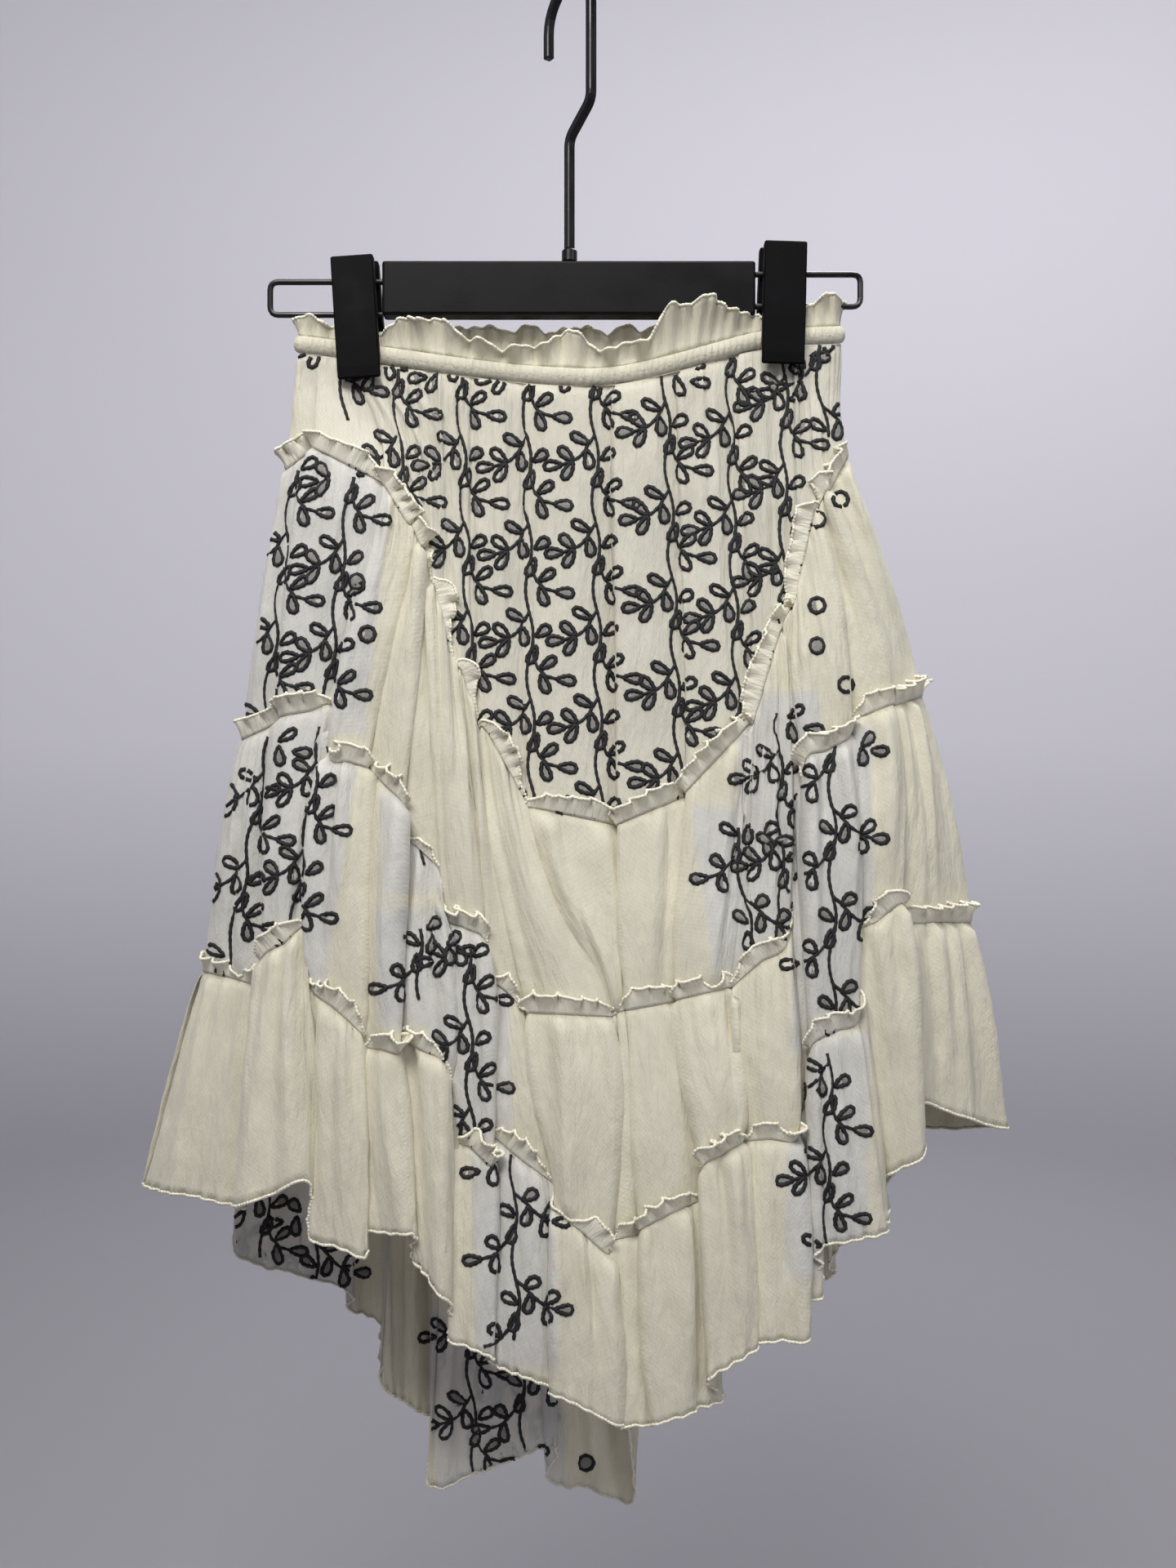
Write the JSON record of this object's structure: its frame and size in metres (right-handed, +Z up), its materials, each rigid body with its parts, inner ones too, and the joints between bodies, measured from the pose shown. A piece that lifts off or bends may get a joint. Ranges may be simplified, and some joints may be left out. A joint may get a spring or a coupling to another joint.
{
  "type": "skirt on a clip hanger",
  "caption": "Tiered skirt of gathered cream cloth with an elastic frilled waist, lettuce-edged seams and a pointed, dipping hem, hanging folded in front and behind from a black clip hanger.",
  "frame": {"origin": "middle of the hook's inner top, where the rail holds the hanger", "axes": "+X to the right as seen from in front, +Y to the back, +Z up along the hanger's stem"},
  "size_m": [0.5082, 0.1442, 0.9388],
  "materials": {
    "cream_mesh": "matte crinkled fine mesh",
    "cream_edge": "matte, overlocked edge",
    "black_satin": "satin black",
    "black_wire": "satin black wire"
  },
  "bodies": {
    "root": {"bar": "black_satin", "clip_left_jaw_front": "black_satin", "clip_left_jaw_rear": "black_satin", "clip_left_pin": "black_satin", "clip_right_jaw_front": "black_satin", "clip_right_jaw_rear": "black_satin", "clip_right_pin": "black_satin", "hook": "black_satin", "hook_collar": "black_satin", "seam_frill_1_back_1": "cream_edge", "seam_frill_1_back_2": "cream_edge", "seam_frill_1_back_3": "cream_edge", "seam_frill_1_back_4": "cream_edge", "seam_frill_1_back_5": "cream_edge", "seam_frill_1_back_6": "cream_edge", "seam_frill_1_front_1": "cream_edge", "seam_frill_1_front_2": "cream_edge", "seam_frill_1_front_3": "cream_edge", "seam_frill_1_front_4": "cream_edge", "seam_frill_1_front_5": "cream_edge", "seam_frill_2_back_1": "cream_edge", "seam_frill_2_back_2": "cream_edge", "seam_frill_2_back_3": "cream_edge", "seam_frill_2_back_4": "cream_edge", "seam_frill_2_back_5": "cream_edge", "seam_frill_2_back_6": "cream_edge", "seam_frill_2_back_7": "cream_edge", "seam_frill_2_back_8": "cream_edge", "seam_frill_2_front_1": "cream_edge", "seam_frill_2_front_2": "cream_edge", "seam_frill_2_front_3": "cream_edge", "seam_frill_3_back_1": "cream_edge", "seam_frill_3_back_2": "cream_edge", "seam_frill_3_back_3": "cream_edge", "seam_frill_3_back_4": "cream_edge", "seam_frill_3_back_5": "cream_edge", "seam_frill_3_back_6": "cream_edge", "seam_frill_3_back_7": "cream_edge", "seam_frill_3_front_1": "cream_edge", "seam_frill_3_front_2": "cream_edge", "seam_frill_3_front_3": "cream_edge", "tier_2_back": "cream_mesh", "tier_2_front": "cream_mesh", "tier_3_back": "cream_mesh", "tier_3_front": "cream_mesh", "tier_4_back": "cream_mesh", "tier_4_front": "cream_mesh", "waist_casing_back": "cream_mesh", "waist_casing_front": "cream_mesh", "waist_frill_back": "cream_edge", "waist_frill_front": "cream_edge", "wire_left": "black_wire", "wire_right": "black_wire", "yoke_back": "cream_mesh", "yoke_front": "cream_mesh"}
  },
  "joints": []
}
